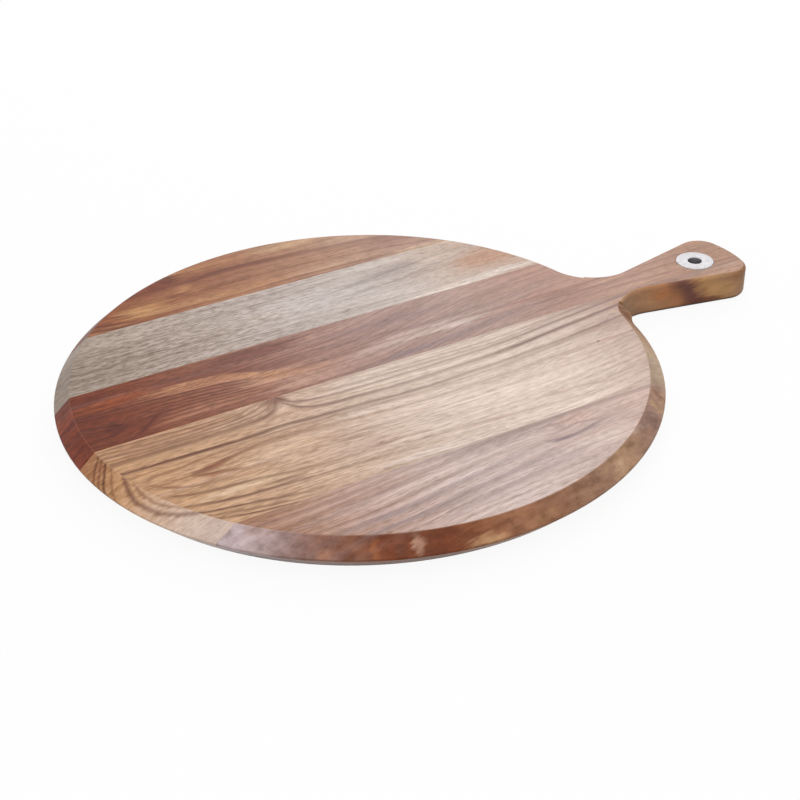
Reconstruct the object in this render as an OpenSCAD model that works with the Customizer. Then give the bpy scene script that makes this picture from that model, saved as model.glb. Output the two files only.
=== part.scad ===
// Round bread board with a paddle handle.
// Five staves are glued edge to edge, shaped as one blank and oiled.
// A pair of flanged metal bushes lines the hanging hole in the handle.
// X runs along the grain towards the handle, Z is up,
// and the origin is the centre of the disc on the underside.

/* [Board] */
// Diameter over the rim of the disc
board_d = 360; // [300:1:440]
// Thickness of the staves
board_t = 20; // [17:0.5:26]
// Width of the upper bevel, seen from above
top_bevel_w = 9.5; // [4:0.5:14]
// Depth of the upper bevel
top_bevel_h = 8.6; // [4:0.2:11]
// Width of the bevel that undercuts the rim
under_bevel_w = 10; // [4:0.5:16]
// Height of the narrow land left between the two bevels
rim_land = 1.2; // [0.5:0.1:3]
// Radius that takes the sharpness off the upper and lower arrises of the rim
rim_ease = 1.5; // [0.4:0.1:1.8]

/* [Staves] */
// Width of the grey stave behind the middle one
grey_stave_w = 61; // [50:0.5:75]
// Width of the red stave that carries most of the handle
red_stave_w = 60; // [52:0.5:75]
// Width of the widest stave, in front of the middle one
wide_stave_w = 98; // [70:0.5:110]
// Distance of the glue line nearest the handle from the handle's axis
handle_seam_offset = 10; // [4:0.5:10]

/* [Handle] */
// Width of the neck where it is narrowest
neck_w = 26; // [25:0.5:40]
// Distance from the rim of the disc to the tip of the handle
handle_len = 103.5; // [85:0.5:130]
// Angle at which each flank of the handle flares towards the tip
flare_angle = 12; // [9:0.5:14]
// Radius between the edge of the top face and the edge of the neck
fillet_r = 32; // [24:0.5:40]
// How far round the fillet the bevels run before they stop
bevel_stop_angle = 47; // [40:1:60]
// Radius of the two corners of the tip
tip_corner_r = 15; // [8:0.5:17]
// Rounding of the handle's upper and lower edges
handle_ease = 3; // [1:0.25:4]

/* [Eyelet] */
// Distance from the tip of the handle to the middle of the hanging hole
hole_inset = 30.5; // [24:0.5:36]
// Diameter of the hanging hole
hole_d = 9; // [6:0.5:12]
// Wall of the bush barrels
barrel_wall = 1.5; // [0.8:0.1:2.5]
// Diameter of the bush flanges
flange_d = 25; // [18:0.5:30]
// Thickness of the bush flanges
flange_t = 1.5; // [1:0.1:2.5]
// Height of the upper flange above the wood
flange_proud = 0.3; // [0:0.05:0.6]
// Depth of the lower flange below the wood
flange_sunk = 0.3; // [0.1:0.05:1]
// Rounding of the flange edge and of the mouth of the hole
flange_ease = 0.5; // [0.2:0.1:0.8]
// Gap round the flanges and barrels in the wood
bush_clearance = 0.1; // [0.05:0.05:0.3]
// Gap between the ends of the two barrels
barrel_gap = 0.5; // [0.2:0.1:2]

/* [Hidden] */
$fn = 96;
// Clearance by which a cutter passes the surface that it cuts
over = 2;
// Angle at which a rounded edge of the handle meets the faces beside it
ease_meet = 12;
// Straight pieces in each rounded arris of the rim
ease_steps = 4;
// Waste left outside the rim and the handle before their edges are cut
edge_waste = 3;
// Angle between the corners of the waste round the disc
waste_step = 10;
// Width of the cut that leaves the rim, and of the one that leaves the edge of the handle
rim_cut_w = 8;
handle_cut_w = 15;
// Angle by which the cut along the handle reaches back past the end of the bevels
stop_lap = 1;

rim_r = board_d / 2;
top_r = rim_r - top_bevel_w;
land_top = board_t - top_bevel_h;
land_bottom = land_top - rim_land;
// The land's own arrises take half its height, so that they never meet
land_ease = rim_land / 2;

// Distances of the glue lines from the handle's axis, to the rear and to the front
seam_red_grey = red_stave_w - handle_seam_offset;
seam_grey_rear = seam_red_grey + grey_stave_w;
seam_wide_front = handle_seam_offset + wide_stave_w;

// Fillet between the disc and the neck: its centre, and the radius of the land and of the wall round it
land_fillet_r = fillet_r - top_bevel_w;
wall_fillet_r = fillet_r - handle_ease;
fillet_y = neck_w / 2 + wall_fillet_r;
fillet_x = sqrt(pow(top_r + fillet_r, 2) - pow(fillet_y, 2));
fillet_start = atan2(fillet_y, fillet_x);

// Places of the tip and of the hanging hole along the handle's axis
handle_reach = rim_r + handle_len;
hole_reach = handle_reach - hole_inset;

// Corners of the tip: their depth below the fillet's centre, square to the flank, and where their
// line starts, then the length of the flank before them and the distance from the end's centre to theirs
corner_depth = wall_fillet_r + tip_corner_r;
corner_from = [fillet_x, fillet_y] - corner_depth * along(flare_angle + 90);
flank_l = handle_reach - tip_corner_r - corner_from.x - corner_from.y * tan(flare_angle / 2);
end_gap = flank_l + corner_from.y / sin(flare_angle);
corner_y = end_gap * sin(flare_angle);

barrel_r = hole_d / 2 + barrel_wall;
top_seat = board_t + flange_proud - flange_t;
bottom_seat = flange_sunk + flange_t;
barrel_top_l = top_seat - (board_t + barrel_gap) / 2;
barrel_bottom_l = (board_t - barrel_gap) / 2 - bottom_seat;

// Unit vector at an angle, and the bearing of one point from another
function along(angle) = [cos(angle), sin(angle)];
function bearing(from, to) = atan2(to.y - from.y, to.x - from.x);

// Points of an arc of radius r that rounds the corner b of the path a, b, c
function corner_arc(a, b, c, r) =
    let (
        u = (a - b) / norm(a - b),
        v = (c - b) / norm(c - b),
        half = acos(u * v) / 2,
        centre = b + r / sin(half) * (u + v) / norm(u + v),
        start = bearing(centre, b + r / tan(half) * u),
        turn = (bearing(centre, b + r / tan(half) * v) - start + 540) % 360 - 180
    )
    [for (i = [0 : ease_steps]) centre + r * along(start + turn * i / ease_steps)];

// Section of what is taken off the rim, as distance inwards from the land and height
module rim_section() {
    lower = [under_bevel_w, 0];
    land_lo = [0, land_bottom];
    land_hi = [0, land_top];
    upper = [top_bevel_w, board_t];
    edge = concat(
        corner_arc([rim_r, 0], lower, land_lo, rim_ease),
        corner_arc(lower, land_lo, land_hi, land_ease),
        corner_arc(land_lo, land_hi, upper, land_ease),
        corner_arc(land_hi, upper, [rim_r, board_t], rim_ease)
    );
    last = len(edge) - 1;
    below = 2 * edge[0] - edge[1];
    above = 2 * edge[last] - edge[last - 1];
    polygon(concat(
        [[-rim_cut_w, -over], [below.x, -over], below],
        edge,
        [above, [above.x, board_t + over], [-rim_cut_w, board_t + over]]
    ));
}

// Section of what is taken off the edge of the handle, as distance inwards from the wall and height
module handle_section() {
    translate([-handle_cut_w, -over])
        square([handle_cut_w, board_t + 2 * over]);
    for (face = [0, 1])
        translate([0, face * board_t])
            mirror([0, face])
                difference() {
                    translate([-over, -over])
                        square(handle_ease + over);
                    translate([handle_ease, handle_ease])
                        circle(handle_ease / cos(ease_meet));
                }
}

// Plan of the blank between two glue lines, sawn roughly round the rear half of the board
module stave_plan(from, to) {
    fillet_waste_r = land_fillet_r - edge_waste;
    tip = handle_reach + edge_waste;
    middle = handle_seam_offset + edge_waste;
    intersection() {
        polygon(concat(
            [[fillet_x, -middle], [tip, -middle], [tip, corner_y + tip_corner_r + edge_waste]],
            [for (i = [2 : -1 : 0]) [fillet_x, fillet_y] - fillet_waste_r * along(i * (90 + flare_angle) / 2)],
            [for (angle = [fillet_start + waste_step : waste_step : 360 - fillet_start - waste_step])
                (rim_r + edge_waste) * along(angle)]
        ));
        translate([-rim_r - 2 * edge_waste, from])
            square([rim_r + tip + 3 * edge_waste, to - from]);
    }
}

// Cut that leaves the double bevel round the disc and on round the fillet until it stops at the neck
module rim_cut() {
    rotate(fillet_start) {
        rotate_extrude(start = 0, angle = 360 - 2 * fillet_start)
            translate([rim_r, 0])
                mirror([1, 0])
                    rim_section();
        translate([top_r + fillet_r, 0, 0])
            rotate_extrude(start = 180, angle = bevel_stop_angle - fillet_start)
                translate([land_fillet_r, 0])
                    rim_section();
    }
}

// Cut that leaves the upright wall of the handle: fillet, flank, corner and end of the tip in turn
module handle_cut() {
    turn = 90 + flare_angle + stop_lap - bevel_stop_angle;
    translate([fillet_x, fillet_y, 0])
        rotate(flare_angle) {
            rotate_extrude(start = 270 - turn, angle = turn)
                translate([wall_fillet_r, 0])
                    handle_section();
            translate([flank_l, -wall_fillet_r, 0])
                rotate([90, 0, -90])
                    linear_extrude(flank_l)
                        handle_section();
            translate([flank_l, -corner_depth, 0]) {
                rotate_extrude(start = 0, angle = 90)
                    translate([tip_corner_r, 0])
                        mirror([1, 0])
                            handle_section();
                translate([-end_gap, 0, 0])
                    rotate_extrude(start = -2 * flare_angle, angle = 2 * flare_angle)
                        translate([end_gap, 0])
                            translate([tip_corner_r, 0])
                                mirror([1, 0])
                                    handle_section();
            }
        }
}

// Hanging hole with a counterbore at each end for a bush flange
module hanging_hole() {
    translate([hole_reach, 0, 0]) {
        translate([0, 0, -over])
            cylinder(h = board_t + 2 * over, r = barrel_r + bush_clearance);
        translate([0, 0, top_seat])
            cylinder(h = board_t + over - top_seat, r = flange_d / 2 + bush_clearance);
        translate([0, 0, -over])
            cylinder(h = bottom_seat + over, r = flange_d / 2 + bush_clearance);
    }
}

// One stave, from the glue line nearer the front to the one nearer the rear
module stave(from, to) {
    difference() {
        linear_extrude(board_t)
            stave_plan(from, to);
        rim_cut();
        handle_cut();
        hanging_hole();
    }
}

module stave_rear() {
    color("peru")
        stave(seam_grey_rear, rim_r + 2 * edge_waste);
}

module stave_grey() {
    color("tan")
        stave(seam_red_grey, seam_grey_rear);
}

module stave_red() {
    color("sienna")
        stave(-handle_seam_offset, seam_red_grey);
}

module stave_wide() {
    color("burlywood")
        mirror([0, 1, 0])
            stave(handle_seam_offset, seam_wide_front);
}

module stave_front() {
    color("rosybrown")
        mirror([0, 1, 0])
            stave(seam_wide_front, rim_r + 2 * edge_waste);
}

// Flanged bush standing on its seat, with its barrel hanging below
module bush(barrel_l) {
    hole_r = hole_d / 2;
    flange_r = flange_d / 2;
    edge = [flange_r, flange_t];
    mouth = [hole_r, flange_t];
    foot = [hole_r, -barrel_l];
    rotate_extrude()
        polygon(concat(
            [foot, [barrel_r, -barrel_l], [barrel_r, 0], [flange_r, 0]],
            corner_arc([flange_r, 0], edge, mouth, flange_ease),
            corner_arc(edge, mouth, foot, flange_ease)
        ));
}

module eyelet_top() {
    color("silver")
        translate([hole_reach, 0, top_seat])
            bush(barrel_top_l);
}

module eyelet_bottom() {
    color("silver")
        translate([hole_reach, 0, bottom_seat])
            mirror([0, 0, 1])
                bush(barrel_bottom_l);
}

stave_rear();
stave_grey();
stave_red();
stave_wide();
stave_front();
eyelet_top();
eyelet_bottom();
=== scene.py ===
import math

import bmesh
import bpy
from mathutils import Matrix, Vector


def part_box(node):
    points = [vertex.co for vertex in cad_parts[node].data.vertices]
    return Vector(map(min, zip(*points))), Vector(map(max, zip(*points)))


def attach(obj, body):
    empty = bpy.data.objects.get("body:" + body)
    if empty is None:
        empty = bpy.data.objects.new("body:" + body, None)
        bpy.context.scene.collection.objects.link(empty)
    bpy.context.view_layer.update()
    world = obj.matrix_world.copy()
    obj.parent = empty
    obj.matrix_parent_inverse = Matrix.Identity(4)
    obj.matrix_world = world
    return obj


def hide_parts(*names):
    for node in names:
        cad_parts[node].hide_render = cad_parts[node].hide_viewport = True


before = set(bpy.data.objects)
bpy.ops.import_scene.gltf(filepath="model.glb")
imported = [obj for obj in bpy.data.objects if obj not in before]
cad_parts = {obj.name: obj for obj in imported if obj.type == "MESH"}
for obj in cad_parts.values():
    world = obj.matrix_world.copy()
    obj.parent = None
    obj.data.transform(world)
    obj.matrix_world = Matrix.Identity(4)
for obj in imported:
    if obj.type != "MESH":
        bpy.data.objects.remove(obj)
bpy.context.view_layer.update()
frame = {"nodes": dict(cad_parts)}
scene = bpy.context.scene
scene.view_settings.view_transform = "Standard"
print("frame loaded:", ", ".join(frame["nodes"]))

boardTop = 20.0  # mm, the serving face


def tint(red, green, blue):
    # screen colour 0-255 to the linear colour a shader takes
    def lin(c):
        c = c / 255
        return c / 12.92 if c <= 0.04045 else ((c + 0.055) / 1.055) ** 2.4
    return (lin(red), lin(green), lin(blue), 1.0)


# camera

cameraLook = {
    "place": (-0.380070, -0.706685, 0.494666),
    "turn": (57.9629, 0.4845, -30.2429),  # degrees
    "lens": 70.66, "sensor": 36, "farthest": 50,
}

cameraData = bpy.data.cameras.new("camera")
cameraData.lens = cameraLook["lens"]
cameraData.sensor_width = cameraLook["sensor"]
cameraData.clip_end = cameraLook["farthest"]
camera = bpy.data.objects.new("camera", cameraData)
camera.location = cameraLook["place"]
camera.rotation_euler = [math.radians(a) for a in cameraLook["turn"]]
scene.collection.objects.link(camera)
scene.camera = camera
print("camera set")


# shader maths

class Wire:
    # one output socket; arithmetic on it adds Math nodes to its tree
    def __init__(self, tree, socket):
        self.tree = tree
        self.socket = socket

    def node(self, kind, settings=None, inputs=None, out=0):
        made = self.tree.nodes.new(kind)
        for key, value in (settings or {}).items():
            if key == "stops":
                fillRamp(made.color_ramp, value)
            elif key == "points":
                fillCurve(made.mapping, value)
            elif key == "items":
                for extra in range(value - len(made.index_switch_items)):
                    made.index_switch_items.new()
            else:
                setattr(made, key, value)
        for key, value in (inputs or {}).items():
            if isinstance(value, Wire):
                self.tree.links.new(value.socket, made.inputs[key])
            else:
                made.inputs[key].default_value = value
        return Wire(self.tree, made.outputs[out])

    def math(self, operation, *values):
        return self.node("ShaderNodeMath", {"operation": operation}, dict(enumerate(values)))

    def __add__(self, other):
        return self.math("ADD", self, other)

    def __radd__(self, other):
        return self.math("ADD", other, self)

    def __sub__(self, other):
        return self.math("SUBTRACT", self, other)

    def __rsub__(self, other):
        return self.math("SUBTRACT", other, self)

    def __mul__(self, other):
        return self.math("MULTIPLY", self, other)

    def __rmul__(self, other):
        return self.math("MULTIPLY", other, self)

    def __truediv__(self, other):
        return self.math("DIVIDE", self, other)

    def __rtruediv__(self, other):
        return self.math("DIVIDE", other, self)

    def __pow__(self, other):
        return self.math("POWER", self, other)

    def __abs__(self):
        return self.math("ABSOLUTE", self)

    def also(self, name):
        # another output of the node this one comes from
        return Wire(self.tree, self.socket.node.outputs[name])

    def fade(self, low, high, first=0.0, last=1.0):
        # smooth step from first at low to last at high
        return self.node("ShaderNodeMapRange", {"interpolation_type": "SMOOTHSTEP"},
                         {"Value": self, "From Min": low, "From Max": high, "To Min": first, "To Max": last})

    def pulled(self, first, second, pull):
        return self + first * pull[0] + second * pull[1]

    def ramp(self, stops):
        return self.node("ShaderNodeValToRGB", {"stops": stops}, {"Fac": self})

    def curve(self, points):
        return self.node("ShaderNodeFloatCurve", {"points": points}, {"Value": self})

    def over(self, colour, amount):
        # lays a colour over this one
        return self.node("ShaderNodeMix", {"data_type": "RGBA"}, {0: amount, 6: self, 7: colour}, out=2)

    def shade(self, colour, amount):
        # multiplies this colour by another
        return self.node("ShaderNodeMix", {"data_type": "RGBA", "blend_type": "MULTIPLY"},
                         {0: amount, 6: self, 7: colour}, out=2)

    def parts(self):
        split = self.node("ShaderNodeSeparateXYZ", None, {0: self})
        return [split.also(axis) for axis in "XYZ"]

    def point(self, x, y, z):
        return self.node("ShaderNodeCombineXYZ", None, {0: x, 1: y, 2: z})

    def placed(self, at, size, turn=0.0):
        # this point seen from a patch: its middle at the origin, its edge at 1
        return self.node("ShaderNodeMapping", {"vector_type": "TEXTURE"},
                         {"Vector": self, "Location": at, "Rotation": (0, 0, math.radians(turn)), "Scale": size})

    def length(self):
        return self.node("ShaderNodeVectorMath", {"operation": "LENGTH"}, {0: self}, out=1)

    def noise(self, grain, seed, detail=3.0, rough=0.55):
        # grain: length, width and depth of one streak in mm; the seed moves the field
        moved = self.placed((seed * 131.7, seed * -57.3, seed * 23.1), grain)
        return self.node("ShaderNodeTexNoise", {"noise_dimensions": "3D"},
                         {"Vector": moved, "Scale": 1.0, "Detail": detail, "Roughness": rough})


def fillRamp(ramp, stops):
    ramp.elements[0].position, ramp.elements[0].color = stops[0]
    ramp.elements[1].position, ramp.elements[1].color = stops[-1]
    for place, colour in stops[1:-1]:
        ramp.elements.new(place).color = colour


def fillCurve(mapping, points):
    curve = mapping.curves[0]
    while len(curve.points) < len(points):
        curve.points.new(0.5, 0.5)
    for spot, place in zip(curve.points, points):
        spot.location = place
    mapping.extend = "HORIZONTAL"
    mapping.update()


def startMaterial(name):
    material = bpy.data.materials.new(name)
    material.use_nodes = True
    tree = material.node_tree
    tree.nodes.clear()
    coords = Wire(tree, tree.nodes.new("ShaderNodeTexCoord").outputs["Object"])
    return material, coords


def endMaterial(material, shader):
    output = material.node_tree.nodes.new("ShaderNodeOutputMaterial")
    material.node_tree.links.new(shader.socket, output.inputs["Surface"])
    return material


# wood: streaks run along X; each stave has a colour that drifts along it, pockets of other colour and drawn grain

gridLow = -200.0  # mm, the span that colours and grain lines are drawn on
gridSpan = 500.0
sweepSpan = 200.0  # mm, the range of a sweep curve

woodLook = {
    # length, width and depth of one mark in mm
    "wander": (130, 34, 30), "broad": (190, 10, 16), "streak": (100, 2.5, 8), "fibre": (7, 1.2, 2.5),
    "vein": (230, 5.5, 12), "pore": (5, 0.8, 1.2), "mottle": (9, 9, 5),
    # heights in mm that a tone fades between: the bevelled edge, the arris above it with its painted highlight and
    # shade line, and the foot with its painted shade
    "edgeTop": (19.93, 19.8), "edgeFoot": (0.07, 0.25), "arrisTop": (19.98, 19.93), "arrisFoot": (19.5, 19.65),
    "footShadeTop": (3.4, 1.0), "footShadeLow": (0.05, 0.6), "footShadeTint": tint(104, 88, 82),
    # how far broad marks, streaks and fibres pull an outline, in mm
    "driftPull": (70, 45), "edgePull": (12, 7), "raggedPull": (60, 30), "linePull": (2.4, 1.4),
    "nearPull": (9, 6), "nearPullAcross": (3, 2), "nearPullUp": 4, "ringPull": 2.0,
    # lean of the edge colours, from x to x, at the two ends of the disc
    "slantLeft": (-150, -60, -1.1, 0.0), "slantRight": (150, 190, 0.0, 0.7),
    "knotFall": 1.8, "lineGaps": (-0.16, 0.08, 0.5, 1.0), "gapFibre": 0.5,
    # growth rings: y and z of the pith, the x they begin at and the y of their far side
    "pith": (-65.5, 71.8), "ringFrom": (-120, -140), "ringFar": (-74, -58),
    "veinWidth": 0.05, "veinPatches": (-0.12, 0.1), "poreSoft": 0.08,
    # x that fine fibres and long streaks change between, and what the edge takes off them
    "fineSpan": (-110, 60), "fineEdge": 0.65, "longSpan": (150, 195), "longHandle": 0.6, "longEdge": 0.6,
    "tones": [(0.22, (0.71, 0.67, 0.63, 1)), (0.5, (1.03, 1.03, 1.03, 1)), (0.78, (1.28, 1.30, 1.33, 1))],
    "roughness": 0.43, "roughStreak": 0.16, "roughPits": 0.14, "bumpFibre": 0.5, "bumpDistance": 0.0002,
    "ior": 1.47, "specular": 0.17,
}


def onGrid(mm):
    return (mm - gridLow) / gridSpan


def alongStops(stops):
    return [(onGrid(place), colour) for place, colour in stops]


def grainLine(along, v, stroke):
    # path: x, y and strength of points along a line, in mm
    middle = along.curve([(onGrid(x), onGrid(y)) for x, y, weight in stroke["path"]]) * gridSpan + gridLow
    strength = along.curve([(onGrid(x), weight) for x, y, weight in stroke["path"]])
    off = v - middle
    return off.fade(0.0, stroke["up"], 1.0, 0.0) * off.fade(-stroke["down"], 0.0) * strength


def woodMaterial(name, look):
    material, coords = startMaterial(name)
    place = coords.node("ShaderNodeVectorMath", {"operation": "SCALE"}, {0: coords, "Scale": 1000.0})  # in mm
    x, y, z = place.parts()
    seed = look["seed"]
    wood = woodLook

    # the grain wanders slowly, leans into the wood, sweeps across the stave and swings into knots
    wander = place.noise(wood["wander"], seed, 2.0) - 0.5
    drawn = y + wander * look["wander"] + (z - boardTop) * look["lean"]
    along = onGrid(x)
    v = drawn
    if "sweep" in look:
        sweep = [(onGrid(at), 0.5 + rise / sweepSpan) for at, rise in look["sweep"]]
        v = v - (along.curve(sweep) - 0.5) * sweepSpan
    for knot in look.get("knots", []):
        close = x.math("MAXIMUM", 1 - place.placed(knot["at"], knot["size"]).length(), 0.0)
        v = v + close ** wood["knotFall"] * knot["push"]
    flow = x.point(x, v, z)
    broad = flow.noise(wood["broad"], seed + 1, 3.0) - 0.5
    streak = flow.noise(wood["streak"], seed + 2, 3.0, 0.55) - 0.5
    fibre = flow.noise(wood["fibre"], seed + 3, 2.0, 0.6) - 0.5
    vein = flow.noise(wood["vein"], seed + 5, 2.0) - 0.5
    pore = flow.noise(wood["pore"], seed + 4, 1.0)

    # colour along the stave, and along its bevelled edge and upright wall
    colour = onGrid(x.pulled(broad, streak, wood["driftPull"])).ramp(alongStops(look["along"]))
    below = z.fade(*wood["edgeTop"]) * z.fade(*wood["edgeFoot"])
    slant = x.fade(*wood["slantLeft"]) + x.fade(*wood["slantRight"])
    brink = (x + (z - boardTop / 2) * slant).pulled(streak, fibre, wood["edgePull"])
    colour = colour.over(onGrid(brink).ramp(alongStops(look["edge"])), below)

    # pockets of other colour, their edges drawn out along the grain, or less so where they are local
    ragged = x.point(x.pulled(broad, streak, wood["raggedPull"]), drawn + streak * look["ragged"], z)
    near = x.point(x.pulled(streak, fibre, wood["nearPull"]), y.pulled(streak, fibre, wood["nearPullAcross"]),
                   z + streak * wood["nearPullUp"])
    for pocket in look["pockets"]:
        far = (near if pocket["local"] else ragged).placed(pocket["at"], pocket["size"], pocket["turn"])
        colour = colour.over(pocket["colour"], far.length().fade(pocket["core"], 1.0, pocket["amount"], 0.0))

    # grain lines and bands, a little broken, that stop at the edge by each stave's own share
    shaky = drawn.pulled(streak, fibre, wood["linePull"])
    broken = (streak + fibre * wood["gapFibre"]).fade(*wood["lineGaps"]) * (1 - below * look["lineStop"])
    for stroke in look["lines"]:
        colour = colour.over(stroke["colour"], grainLine(along, shaky, stroke) * broken)

    # growth rings that turn over the bevel at the end of the stave
    if "rings" in look:
        pithY, pithZ = wood["pith"]
        pith = ((y - pithY) ** 2 + (z - pithZ) ** 2) ** 0.5
        turned = below * x.fade(*wood["ringFrom"])
        for ring in look["rings"]:
            reach = pith + streak * wood["ringPull"] - ring["radius"]
            mask = reach.fade(0.0, ring["up"], 1.0, 0.0) * reach.fade(-ring["down"], 0.0)
            amount = mask * turned * y.fade(*wood["ringFar"], ring["far"], 1.0) * ring["amount"]
            colour = colour.over(ring["colour"], amount)

    # fine veins, the tone of bands, streaks and fibres, open pores, a painted highlight along the arris (painted
    # shade on the rear and grey staves) and painted shade along the foot near the floor
    threads = abs(vein).fade(0.0, wood["veinWidth"], 1.0, 0.0) * broad.fade(*wood["veinPatches"]) * broken
    colour = colour.shade(look["veinTint"], threads * look["veins"])
    fine = x.fade(*wood["fineSpan"], *look["fibre"]) * (1 - below * wood["fineEdge"])
    long = x.fade(*wood["longSpan"], look["streak"], look["streak"] * wood["longHandle"])
    long = long * (1 - below * wood["longEdge"])
    mottle = place.noise(wood["mottle"], seed + 7, 3.0, 0.6) - 0.5
    patchy = below * (look["mottle"] - look["cloud"]) + look["cloud"]
    tone = broad * look["broad"] + streak * long + fibre * fine + mottle * patchy + 0.5
    colour = colour.shade(tone.ramp(wood["tones"]), 1.0)
    pits = pore.fade(look["poreFrom"], look["poreFrom"] - wood["poreSoft"])
    colour = colour.shade(look["poreTint"], pits * look["pores"])
    # painted highlight along the top arris; the rear and grey staves take a darker colour there, painted shade
    colour = colour.over(look["arris"], z.fade(*wood["arrisTop"]) * z.fade(*wood["arrisFoot"]) * look["arrisLightShade"])
    # painted shade along the low foot of the walls and rim, where the board meets the floor
    colour = colour.shade(wood["footShadeTint"], z.fade(*wood["footShadeTop"]) * z.fade(*wood["footShadeLow"]))

    roughness = wood["roughness"] + streak * wood["roughStreak"] + pits * wood["roughPits"]
    height = fibre * wood["bumpFibre"] - pits
    relief = height.node("ShaderNodeBump", None, {
        "Height": height, "Strength": look["relief"], "Distance": wood["bumpDistance"]})
    shader = colour.node("ShaderNodeBsdfPrincipled", None, {
        "Base Color": colour, "Roughness": roughness, "Normal": relief, "IOR": wood["ior"],
        "Specular IOR Level": wood["specular"]})
    return endMaterial(material, shader)


# staves: the CAD boards merged and shaded smooth, crisp only along the seams and the bevel stops

staveShading = {"merge": 2e-6, "flat": 0.1, "crispFrom": 28, "faceWeight": 80}  # metres, degrees, degrees, per cent


def settle(piece):
    # turns what the modifiers make into the piece's own mesh
    graph = bpy.context.evaluated_depsgraph_get()
    done = bpy.data.meshes.new_from_object(piece.evaluated_get(graph))
    piece.modifiers.clear()
    piece.data = done
    return done


def smoothStave(nodeName, pieceName, material):
    bm = bmesh.new()
    bm.from_mesh(frame["nodes"][nodeName].data)
    bmesh.ops.remove_doubles(bm, verts=bm.verts, dist=staveShading["merge"])
    bmesh.ops.dissolve_limit(bm, angle_limit=math.radians(staveShading["flat"]), verts=bm.verts, edges=bm.edges)
    for face in bm.faces:
        face.smooth = True
    for edge in bm.edges:
        edge.smooth = edge.calc_face_angle(0) < math.radians(staveShading["crispFrom"])
    mesh = bpy.data.meshes.new(pieceName)
    bm.to_mesh(mesh)
    bm.free()
    piece = bpy.data.objects.new(pieceName, mesh)
    scene.collection.objects.link(piece)
    even = piece.modifiers.new("even shading", "WEIGHTED_NORMAL")
    even.keep_sharp = True
    even.weight = staveShading["faceWeight"]
    done = settle(piece)
    piece.data.materials.append(material)
    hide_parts(nodeName)
    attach(piece, "root")
    print("stave", pieceName, len(done.polygons), "faces")


pocketLook = {"rimReach": 175, "rimDepth": 12, "topDepth": 30, "wallFront": -18, "wallDepth": 16}  # mm


def onRim(angle, length, colour, amount, height=15.5, depth=6.5):
    # a pocket of colour on the bevelled rim, angle in degrees round the disc
    turn, reach = math.radians(angle), pocketLook["rimReach"]
    return {"at": (reach * math.cos(turn), reach * math.sin(turn), height),
            "size": (length, pocketLook["rimDepth"], depth),
            "turn": angle + 90, "core": 0.3, "local": True, "colour": colour, "amount": amount}


def onTop(x, y, length, width, colour, amount, turn=0, core=0.2, local=False):
    return {"at": (x, y, boardTop), "size": (length, width, pocketLook["topDepth"]), "turn": turn, "core": core,
            "local": local, "colour": colour, "amount": amount}


def onWall(x, z, length, height, colour, amount):
    # a pocket on the front wall of the handle
    return {"at": (x, pocketLook["wallFront"], z), "size": (length, pocketLook["wallDepth"], height),
            "turn": 0, "core": 0.35, "local": True, "colour": colour, "amount": amount}


def line(up, down, colour, *path):
    # a line that fades over up mm to the rear and down mm to the front, through points of x, y and strength
    return {"up": up, "down": down, "colour": colour, "path": path}


# painted highlight colour for the top arris of the wide and front staves
arrisHighlight = tint(232, 205, 182)

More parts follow.
